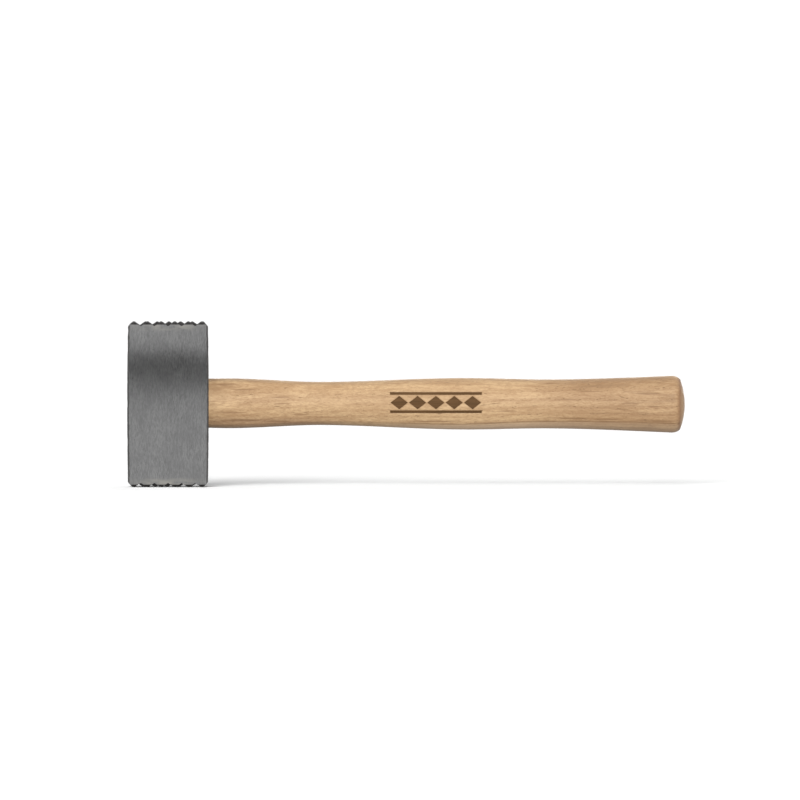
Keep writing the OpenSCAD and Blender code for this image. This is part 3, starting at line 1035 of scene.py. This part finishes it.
def direction(azimuth, elevation):
    """Unit vector at angles in degrees: azimuth 0 is in front of the marked cheek, 90 is +X."""
    a, e = math.radians(azimuth), math.radians(elevation)
    return Vector((math.sin(a) * math.cos(e), -math.cos(a) * math.cos(e), math.sin(e)))


def aim(thing, at):
    """Turns a lamp or camera towards a point."""
    thing.rotation_euler = (Vector(at) - thing.location).to_track_quat("-Z", "Y").to_euler()


def sun(name, azimuth, elevation, strength, angle, lights, blockers=None):
    """A soft distant lamp that lights these objects only, shadowed by all or by the blockers."""
    lamp = bpy.data.lights.new(name, "SUN")
    lamp.energy = strength
    lamp.angle = math.radians(angle)
    thing = bpy.data.objects.new(name, lamp)
    thing.location = direction(azimuth, elevation)
    aim(thing, (0, 0, 0))
    bpy.context.scene.collection.objects.link(thing)
    thing.light_linking.receiver_collection = lights
    if blockers:
        thing.light_linking.blocker_collection = blockers


def group(name, things):
    """A collection of objects, for a lamp to light or to be blocked by."""
    collection = bpy.data.collections.new(name)
    for thing in things:
        collection.objects.link(thing)
    return collection


def make_floor():
    """A wide pale floor that neither lights the object nor is mirrored in it."""
    r = FLOOR_HALF
    floor = plain_object("floor", [(-r, -r, 0), (r, -r, 0), (r, r, 0), (-r, r, 0)], [(0, 1, 2, 3)])
    s = Shader("floor_paper")
    s.set(Base_Color=(FLOOR_TONE,) * 3 + (1,), Roughness=1.0, Specular_IOR_Level=0.0)
    floor.data.materials.append(s.material)
    floor.visible_diffuse = False
    floor.visible_glossy = False
    return floor


def make_surroundings():
    """White surroundings: dimmer below than above for the object, plain white for the camera."""
    world = bpy.data.worlds.new("studio")
    world.use_nodes = True
    tree = world.node_tree
    background = tree.nodes["Background"]
    background.inputs["Color"].default_value = (1, 1, 1, 1)
    ray = tree.nodes.new("ShaderNodeTexCoord")
    parts = tree.nodes.new("ShaderNodeSeparateXYZ")
    sky = tree.nodes.new("ShaderNodeMapRange")
    path = tree.nodes.new("ShaderNodeLightPath")
    strength = tree.nodes.new("ShaderNodeMix")
    sky.interpolation_type = "SMOOTHSTEP"
    for end, (upward, level) in (("Min", SKY_LOW), ("Max", SKY_HIGH)):
        sky.inputs["From " + end].default_value = upward
        sky.inputs["To " + end].default_value = level
    strength.inputs["B"].default_value = 1.0
    tree.links.new(ray.outputs["Generated"], parts.inputs[0])
    tree.links.new(parts.outputs["Z"], sky.inputs["Value"])
    tree.links.new(sky.outputs["Result"], strength.inputs["A"])
    tree.links.new(path.outputs["Is Camera Ray"], strength.inputs["Factor"])
    tree.links.new(strength.outputs["Result"], background.inputs["Strength"])
    bpy.context.scene.world = world


def make_lamps(head, handle, floor):
    """One soft key, higher for the steel, a weak fill from behind, and low lamps for the floor."""
    wood = group("wood", [handle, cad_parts["wooden_wedge"]])
    wedges = [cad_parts["steel_wedge_upper"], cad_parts["steel_wedge_lower"]]
    sun("key_wood", 8, 14, 2.9, 20, wood)
    sun("fill_wood", 176, 9, 1.3, 30, wood)
    sun("key_steel", 10, 34, 3.4, 20, group("steel", [head, *wedges]))

    # Each low lamp gives its share of the floor's brightness, which its shadow takes away.
    floor_only = group("floor_only", [floor])
    head_only = group("head_shadow", [head])
    for name, azimuth, elevation, share, blockers in (
        ("low_front", -4, 7.5, 0.19, None),
        ("low_mid", -4, 12, 0.13, None),
        ("low_high", -4, 24, 0.09, None),
        ("low_left", -11, 9, 0.165, head_only),
        ("low_side", -20, 11, 0.05, head_only),
        ("low_back", 175, 24, 0.09, None),
    ):
        strength = share * math.pi / (FLOOR_TONE * math.sin(math.radians(elevation)))
        sun(name, azimuth, elevation, strength, 10, floor_only, blockers)


def make_card():
    """A dark card in front of the head, which gives the ground cheek its soft dark band."""
    x, z = CARD_OUTLINE.T
    y = -CHEEK_Y - CARD_AWAY + (z - CARD_AWAY_Z) * CARD_LEAN
    card = plain_object("card", np.column_stack([x, y, z]).tolist(), [tuple(range(len(x)))])
    s = Shader("card_black")
    s.set(Base_Color=(0.06, 0.06, 0.06, 1), Roughness=1.0)
    card.data.materials.append(s.material)
    card.visible_camera = False
    card.visible_diffuse = False
    card.visible_shadow = False


def make_camera():
    """A long view square on to the marked cheek, a touch from above."""
    data = bpy.data.cameras.new("camera")
    data.type = "ORTHO"
    data.ortho_scale = VIEW_WIDTH
    data.clip_end = 200
    camera = bpy.data.objects.new("camera", data)
    centre = (Vector(cad_box[0]) + Vector(cad_box[1])) / 2
    at = centre + Vector((VIEW_SHIFT_X, -centre.y, VIEW_SHIFT_Z))
    camera.location = at + VIEW_DISTANCE * direction(0, VIEW_ELEVATION)
    aim(camera, at)
    bpy.context.scene.collection.objects.link(camera)
    bpy.context.scene.camera = camera


make_camera()
steel_head = make_head()
ash_handle = make_handle()
dress_wedges()
floor = make_floor()
make_surroundings()
make_lamps(steel_head, ash_handle, floor)
make_card()
bpy.context.scene.view_settings.view_transform = "Standard"
